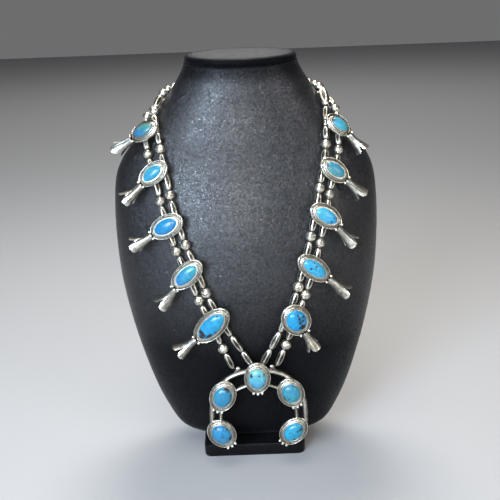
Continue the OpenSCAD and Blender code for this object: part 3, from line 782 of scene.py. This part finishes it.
def flowerShape(length, thinSide, side):
    r = flowerLook["stem"] / 2
    split = flowerLook["split"]
    # the stem swells towards the mouth
    stations = np.array([0, 0.05, 0.12, 0.3, split, 0.7, 0.85, 1.0])
    radii = np.array([r * 0.88, r * 0.98, r, r * 1.08, r * 1.24, r * 1.44, r * 1.56, r * 1.62])
    turns = np.linspace(-math.pi, math.pi, flowerLook["sides"], endpoint=False)
    reach = np.full(len(turns), split)
    flare = np.zeros(len(turns))
    wall = np.full(len(turns), flowerLook["wall"])
    for name, (turn, half, far, spread, square) in petals.items():
        x = np.abs((np.degrees(turns) - turn * thinSide + 180) % 360 - 180) / half
        within = x < 1
        reach[within] = split + (far - split) * (1 - x[within] ** square) ** 0.5
        if name == "thin":
            spread = thinFlare[side]
            wall[within] = flowerLook["thinPetalWall"]
        flare = np.maximum(flare, spread * np.clip(1.25 - x, 0, 0.25) * 4)
    keel = np.exp(-((np.degrees(turns) - thinSide * flowerLook["keelTurn"]) / flowerLook["keelWidth"]) ** 2)
    rings = []
    shades = []
    outside = [(False, t) for t in np.linspace(0, 1, 26)]
    inside = [(True, t) for t in np.linspace(1, 0.4, 14)]
    for inner, t in outside + inside:
        z = t * reach
        opening = np.clip((z - split) / (1 - split), 0, 1)
        radius = np.interp(z, stations, radii) + flare * opening ** 1.25
        fade = np.clip(z / 0.1, 0, 1) * np.clip((1.1 - z) / 0.3, 0, 1)
        if inner:
            radius = radius - flowerLook["wall"] - (wall - flowerLook["wall"]) * np.clip(3 * opening, 0, 1)
            z = np.minimum(z, reach - 0.012)
            shades.append(np.clip(0.8 - 3.0 * opening, 0.0, 0.8))
        else:
            radius = radius + fade * (flowerLook["keelRise"] * keel
                                      + flowerLook["hatchDepth"] * np.cos(flowerLook["hatch"] * turns))
            edge = np.clip((t - 0.9) / 0.1, 0, 1)
            streak = 0.4 + 0.25 * fade * (np.cos(flowerLook["hatch"] * turns) < 0)
            shades.append(streak * (1 - keel) * (1 - edge) + 0.5 * np.clip(1 - z / 0.07, 0, 1))
        rings.append(np.stack([radius * np.cos(turns), radius * np.sin(turns), z * length], 1))
    return ringShape(rings, np.array(shades))


def tubeShape(start, end, outer, bore):
    length = np.linalg.norm(end - start)
    ease = 0.25
    profile = [(bore, 0), (outer - ease, 0), (outer, ease), (outer, length - ease), (outer - ease, length),
               (bore, length)]
    return along(turned(profile, 28, 0.3), start, end - start)


def postShape(seat, spot):
    # from a loop up to the plate's back
    rise = -(spot - seat["origin"]) @ seat["n"] + 0.5
    half = shankLook["post"] / 2
    corners = [(half, half), (-half, half), (-half, -half), (half, -half)]
    waist = [(1.0, 0.0), (0.85, rise * 0.5), (1.25, rise)]
    rings = [[(x * s, y * s, z) for x, y in corners] for s, z in waist]
    return moved(ringShape(rings, 0.5), spot, seat["u"], seat["v"], seat["n"])


def loopSpans(chain):
    # a shank loop sits where two beads stand well apart
    spans = []
    for low, high in zip(chain, chain[1:]):
        a = low["centre"] + low["axis"] * low["length"] / 2
        b = high["centre"] - high["axis"] * high["length"] / 2
        gap = np.linalg.norm(b - a)
        if gap > shankLook["leastGap"]:
            room = (gap - shankLook["length"]) / 2
            spans.append((a + unit(b - a) * room, b - unit(b - a) * room))
    return spans


def addBlossom(side, number):
    node = f"blossom_{side}_{number}"
    stone = f"stone_{side}_{number}"
    seat = stoneFrame(stone)
    spots = meshOf(node)[0] - seat["origin"]
    flat = np.stack([spots @ seat["u"], spots @ seat["v"]], 1)
    far = np.linalg.norm(flat, axis=1)
    # the flower lies towards the node's farthest points
    mouth = flat[far > far.max() - 3.0].mean(0)
    turn = math.atan2(mouth[1], mouth[0])
    stem = math.cos(turn) * seat["u"] + math.sin(turn) * seat["v"]
    begin = seat["l"] / 2 + settingLook["endEdge"] - flowerLook["root"]
    length = (flat @ unit(mouth)).max() - begin
    shapes = plateShapes(seat, math.degrees(turn), stones[stone]["window"])
    # a flower rolled upwards has its thin petal on the lower side
    sign = -1 if side == "left" else 1
    lean = math.radians(flowerRolls[side][number - 1]) * sign
    thinSide = -1 if lean > 0 else 1
    front = math.cos(lean) * seat["n"] + math.sin(lean) * np.cross(stem, seat["n"])
    start = seat["origin"] + stem * begin + seat["n"] * flowerLook["stem"] * flowerLook["rise"]
    shapes.append(moved(flowerShape(length, thinSide, side), start, front, np.cross(stem, front), stem))
    for chain in chains[side]:
        a, b = min(loopSpans(chain), key=lambda s: np.linalg.norm((s[0] + s[1]) / 2 - seat["origin"]))
        shapes.append(tubeShape(a, b, shankLook["outer"] / 2, beadLook["bore"] / 2))
        shapes.append(postShape(seat, (a + b) / 2 + seat["n"] * shankLook["postStart"]))
    addPiece(f"blossom{side.title()}{number}", shapes, silver, [node], sharp=48)
    addStone(stone, seat, 10 * number + (side == "left"))


for side in ("left", "right"):
    for number in range(1, 6):
        addBlossom(side, number)
print("blossoms and their stones made")

# naja

najaLook = {
    "width": 73.6,
    "height": 39.8,
    "power": 2.4,  # 2 is a plain ellipse, more is squarer
    "innerWidth": 60.0,
    "innerHeight": 28.5,
    "innerPower": 2.0,
    "leg": 6.0,
    "outerBar": 4.2,
    "innerBar": 3.0,
    "depth": 4.4,
    "forward": 0.3,
    "crownShare": 0.874,  # the middle plate's place on the arch
    "loops": (-0.4, 0.0, 0.315),
    "loopWidth": 3.2,
    "loopLength": 2.6,
    "loopSunk": 0.4,
}
najaCentre = stoneFrame("naja_stone_1")["origin"]
legsHeight = najaCentre[2] - najaLook["crownShare"] * najaLook["height"]


def bandShape(width, height, power, bar):
    turns = np.radians(np.linspace(0, 180, 73))
    x = width / 2 * np.sign(np.cos(turns)) * np.abs(np.cos(turns)) ** (2 / power)
    z = height * np.abs(np.sin(turns)) ** (2 / power)
    line = np.array([(width / 2, -najaLook["leg"])] + list(zip(x, z)) + [(-width / 2, -najaLook["leg"])])
    deep = najaLook["depth"]
    section = [(0.44, deep), (-0.44, deep), (-0.5, deep * 0.85), (-0.5, deep * 0.48), (-0.46, deep * 0.36),
               (-0.30, deep * 0.19), (-0.12, deep * 0.04), (-0.05, 0.0), (0.05, 0.0), (0.12, deep * 0.04),
               (0.30, deep * 0.19), (0.46, deep * 0.36), (0.5, deep * 0.48), (0.5, deep * 0.85)]
    dark = [0.8, 0.8, 0.8, 0.8, 0.75, 0.6, 0.4, 0.3, 0.3, 0.4, 0.6, 0.75, 0.8, 0.8]
    rings = []
    for k in range(len(line)):
        way = unit(line[min(k + 1, len(line) - 1)] - line[max(k - 1, 0)])
        rings.append([(line[k][0] + q * bar * way[1], y, line[k][1] - q * bar * way[0]) for q, y in section])
    points, faces, shade = ringShape(rings, np.array(dark)[None, :])
    place = np.array([najaCentre[0], najaCentre[1] - najaLook["forward"], legsHeight])
    return points + place, faces, shade


def addNaja():
    power = najaLook["power"]
    shapes = [
        bandShape(najaLook["width"], najaLook["height"], power, najaLook["outerBar"]),
        bandShape(najaLook["innerWidth"], najaLook["innerHeight"], najaLook["innerPower"],
                  najaLook["innerBar"]),
    ]
    for number in range(1, 6):
        node = f"naja_stone_{number}"
        seat = stoneFrame(node)
        if seat["u"][2] < 0:
            seat["u"], seat["v"] = -seat["u"], -seat["v"]
        shapes += plateShapes(seat, 180.0, stones[node]["window"])
        addStone(node, seat, 70 + number)
    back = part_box("naja_frame")[1][1] / mm
    for share in najaLook["loops"]:
        x = share * najaLook["width"] / 2
        top = najaLook["height"] * (1 - abs(share) ** power) ** (1 / power)
        r = najaLook["loopWidth"] / 2
        height = legsHeight + top + najaLook["outerBar"] / 2 + r - najaLook["loopSunk"]
        middle = np.array([najaCentre[0] + x, back - r, height])
        reach = np.array([najaLook["loopLength"] / 2, 0, 0])
        shapes.append(tubeShape(middle - reach, middle + reach, r * 0.84, beadLook["bore"] / 2))
        # a foot that widens downwards carries the loop
        foot = [[(q * wide, d, -r - 0.9 + z) for q, d in ((1, 1.1), (-1, 1.1), (-1, -1.1), (1, -1.1))]
                for wide, z in ((3.2, 0.0), (2.4, 0.9), (1.3, 1.9))]
        points, faces, shade = ringShape(foot, 0.3)
        shapes.append((points + middle, faces, shade))
    addPiece("najaSilver", shapes, silver, ["naja_frame"], sharp=48)


addNaja()
print("naja made")

# clasp behind the neck

claspLook = {"border": 0.35, "corner": 3.4, "button": 5.0, "buttonRise": 0.9, "sides": 96}


def addClasp():
    low, high = (np.array(c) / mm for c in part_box("clasp"))
    middle = (low + high) / 2
    half = (high - low) / 2
    power = 2 / claspLook["corner"]
    turns = np.linspace(0, 2 * math.pi, claspLook["sides"], endpoint=False)
    x = half[0] * np.sign(np.cos(turns)) * np.abs(np.cos(turns)) ** power
    z = half[2] * np.sign(np.sin(turns)) * np.abs(np.sin(turns)) ** power
    deep = half[1]
    rows = [(0.93, -deep, 0.4), (1.0, -deep + 0.5, 0.2), (1.0, deep - 0.5, 0.1), (0.97, deep - 0.1, 0.0),
            (0.90, deep, 0.0), (0.84, deep - 0.1, 0.3), (0.82, deep - claspLook["border"], 1.0),
            (0.3, deep - claspLook["border"] + 0.1, 0.2)]
    rings = [np.stack([x * s, np.full(claspLook["sides"], y), z * s], 1) for s, y, _ in rows]
    points, faces, shade = ringShape(rings, np.array([r[2] for r in rows])[:, None])
    shapes = [(points + middle, [f[::-1] for f in faces], shade)]
    dome = [(claspLook["button"] / 2 * math.cos(a), claspLook["buttonRise"] * math.sin(a))
            for a in np.radians(np.linspace(0, 84, 9))]
    button = turned(dome, 40, [0.8, 0.3] + [0.0] * 7, ends="capped")
    shapes.append(along(button, middle + np.array([0, deep - claspLook["border"], 0]), (0, 1, 0)))
    addPiece("claspPlate", shapes, silver, ["clasp"], sharp=50)


addClasp()
print("clasp made")

# neck bust

bustLook = {
    "width": 212.0,
    "height": 303.0,
    "depth": 93.5,
    "foot": 11.2,
    "tilt": 5.0,
    "tiltFrom": 0.85,  # the tilt grows in from this share of the height, over the next one
    "tiltOver": 0.15,
    "seamTurn": 86.0,
    "seamWidth": 0.32,  # degrees
    "seamDepth": 0.7,
    "seamPuff": 0.18,  # how far the leather stands up beside the seam
    "weltRise": 0.7,
    "weltPlace": 0.9935,
    "weltWidth": 0.0015,
    "hemDrawn": 2.2,  # how far the lower edge is drawn in
    "hemReach": 0.012,
    "paintedShadeLow": (0.98, 0.47, 0.2),  # painted shade, darker towards the bottom: how dull, below which share of the height, fading over what share
    "paintedShadeTop": (0.85, 0.945, 0.03),  # painted shadow under the cap: the same, above that share
    "heights": 110,
}
# one row for each height: height share, half width share, then the places of the sides, of the
# chest and of the back as shares of the depth
bustRows = np.array([
    (0, 0.49, -0.19, -0.36, 0.09),
    (0.022, 0.59, -0.155, -0.41, 0.18),
    (0.069, 0.68, -0.11, -0.465, 0.24),
    (0.135, 0.765, -0.08, -0.52, 0.285),
    (0.227, 0.85, -0.04, -0.57, 0.315),
    (0.326, 0.922, -0.005, -0.6, 0.335),
    (0.442, 0.98, 0.035, -0.595, 0.36),
    (0.557, 1, 0.07, -0.545, 0.38),
    (0.65, 0.993, 0.09, -0.475, 0.39),
    (0.716, 0.965, 0.09, -0.41, 0.4),
    (0.762, 0.905, 0.09, -0.36, 0.4),
    (0.815, 0.785, 0.09, -0.3, 0.4),
    (0.871, 0.642, 0.09, -0.26, 0.39),
    (0.927, 0.52, 0.09, -0.24, 0.38),
    (0.973, 0.434, 0.09, -0.23, 0.38),
    (1, 0.4, 0.09, -0.225, 0.38),
])


def bustRow(s):
    heights = bustRows[:, 0]
    last = len(bustRows) - 1
    k = min(int(np.searchsorted(heights, s, "right")) - 1, last - 1)

    def slope(j):
        a, b = max(j - 1, 0), min(j + 1, last)
        return (bustRows[b] - bustRows[a]) / (heights[b] - heights[a])

    h = heights[k + 1] - heights[k]
    u = (s - heights[k]) / h
    v, w = u * u, u * u * u
    return ((2 * w - 3 * v + 1) * bustRows[k] + (w - 2 * v + u) * h * slope(k)
            + (3 * v - 2 * w) * bustRows[k + 1] + (w - v) * h * slope(k + 1))


def bustRing(s, turns, swell):
    row = bustRow(s)
    c = np.cos(turns)
    y = bustLook["depth"] * (row[2] - np.where(c >= 0, row[2] - row[3], row[4] - row[2]) * c)
    x = bustLook["width"] / 2 * row[1] * np.sin(turns)
    u = min(1.0, max(0.0, (s - bustLook["tiltFrom"]) / bustLook["tiltOver"]))
    tilt = math.tan(math.radians(bustLook["tilt"])) * u * u * (3 - 2 * u)
    centre = bustLook["depth"] * row[2]
    reach = np.hypot(x, y - centre)
    grow = 1 + swell / reach
    x, y = x * grow, centre + (y - centre) * grow
    return np.stack([x, y, bustLook["foot"] + bustLook["height"] * s + y * tilt], 1)


def addBust():
    coarse = list(np.arange(-180, 180, 3.75))
    steps = (-1.2, -0.7, -0.35, 0, 0.35, 0.7, 1.2)
    fine = [side * bustLook["seamTurn"] + step for side in (-1, 1) for step in steps]
    # the even columns next to a seam give way to its own finer ones
    turns = np.array(sorted([t for t in coarse if abs(abs(t) - bustLook["seamTurn"]) > 1.8] + fine))
    off = np.abs(np.abs(turns) - bustLook["seamTurn"])
    seam = -bustLook["seamDepth"] * np.exp(-(off / bustLook["seamWidth"]) ** 2)
    seam = seam + bustLook["seamPuff"] * np.exp(-((off - 1.0) / 0.45) ** 2)
    heights = list(np.linspace(0, 0.98, bustLook["heights"]))
    heights += [0.986, 0.990, 0.992, 0.9935, 0.995, 0.9965, 1.0]
    rings = []
    dull = []
    low, lowFrom, lowOver = bustLook["paintedShadeLow"]
    top, topFrom, topOver = bustLook["paintedShadeTop"]
    for s in heights:
        welt = bustLook["weltRise"] * math.exp(-((s - bustLook["weltPlace"]) / bustLook["weltWidth"]) ** 2)
        hem = -bustLook["hemDrawn"] * max(0.0, 1 - s / bustLook["hemReach"]) ** 2
        rings.append(bustRing(s, np.radians(turns), seam * min(1, 30 * s) + welt + hem))
        # painted shade: less gloss low on the bust and in the painted shadow under the cap
        dull.append(low * np.clip((lowFrom - s) / lowOver, 0, 1)
                    + top * np.clip((s - topFrom) / topOver, 0, 1))
    shape = ringShape(rings, np.array(dull)[:, None])
    piece = addPiece("bustForm", [shape], leather, ["bust_body"], sharp=55)


capLook = {"width": 85.0, "depth": 61.0, "thick": 4.5, "tilt": 5.0, "sunk": 1.2, "sides": 120}


def addCap():
    low, high = (np.array(c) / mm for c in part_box("neck_cap"))
    turns = np.linspace(0, 2 * math.pi, capLook["sides"], endpoint=False)
    middle = (low + high) / 2
    tilt = math.radians(capLook["tilt"])
    thick = capLook["thick"]
    # a padded roll runs round the rim
    rows = [(-14.0, -1.0), (-4.0, -1.0), (-1.6, -0.9), (-0.6, -0.5), (0.1, 0.1), (0.45, 0.9), (0.5, 1.8),
            (0.35, 2.8), (-0.1, 3.6), (-0.9, 4.3), (-2.2, thick + 0.25), (-4.0, thick + 0.3),
            (-6.0, thick + 0.25), (-10.0, thick + 0.3), (-18.0, thick + 0.45), (-28.0, thick + 0.5)]
    rings = []
    for inset, z in rows:
        rings.append(np.stack([(capLook["width"] / 2 + inset) * np.cos(turns),
                               (capLook["depth"] / 2 + inset) * np.sin(turns),
                               np.full(capLook["sides"], z)], 1))
    # painted shade: the padded roll and the underside lose their gloss, the top keeps it
    dull = [1.1] * 10 + [1.0, 0.7, 0.3] + [0.0] * 3
    points, faces, shade = ringShape(rings, np.array(dull)[:, None])
    c, s = math.cos(tilt), math.sin(tilt)
    points = points @ np.array([[1, 0, 0], [0, c, s], [0, -s, c]])
    own = (points.min(0) + points.max(0)) / 2
    points += np.array([0, middle[1] - own[1], middle[2] - own[2] - capLook["sunk"]])
    piece = addPiece("neckCap", [(points, faces, shade)], leather, ["neck_cap"], sharp=60)


# the foot's dullness is painted shade over the whole foot
footLook = {"corner": 6.0, "soft": 1.5, "dull": 0.92}


def addFoot():
    low, high = (np.array(c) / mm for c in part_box("base_foot"))
    half = (high - low) / 2
    thick = high[2] - low[2]
    soft = footLook["soft"]
    r = footLook["corner"]
    corners = [(q, a) for q in range(4) for a in np.radians(np.linspace(90 * q, 90 * q + 90, 13))]
    rows = [(3.0, 0.0), (1.0, 0.0), (0.3, 0.35), (0.0, 1.2)]
    rows += [(0.0, thick * 0.3), (0.0, thick * 0.5), (0.0, thick * 0.7)]
    rows += [(soft * (1 - math.cos(a)), thick - soft * (1 - math.sin(a)))
             for a in np.radians([10, 28, 46, 64, 82])]
    rows += [(3.5, thick), (5.5, thick)]
    rings = []
    for inset, z in rows:
        ring = []
        for q, a in corners:
            sx = 1 if q in (0, 3) else -1
            sy = 1 if q < 2 else -1
            ring.append((sx * (half[0] - r) + (r - inset) * math.cos(a),
                         sy * (half[1] - r) + (r - inset) * math.sin(a), z))
        rings.append(ring)
    # painted shade: the same dull value on every point of the foot
    points, faces, shade = ringShape(rings, footLook["dull"])
    points += np.array([(low[0] + high[0]) / 2, (low[1] + high[1]) / 2, low[2]])
    piece = addPiece("footSlab", [(points, faces, shade)], leather, ["base_foot"], sharp=60)


addBust()
addCap()
addFoot()
print("neck bust made")
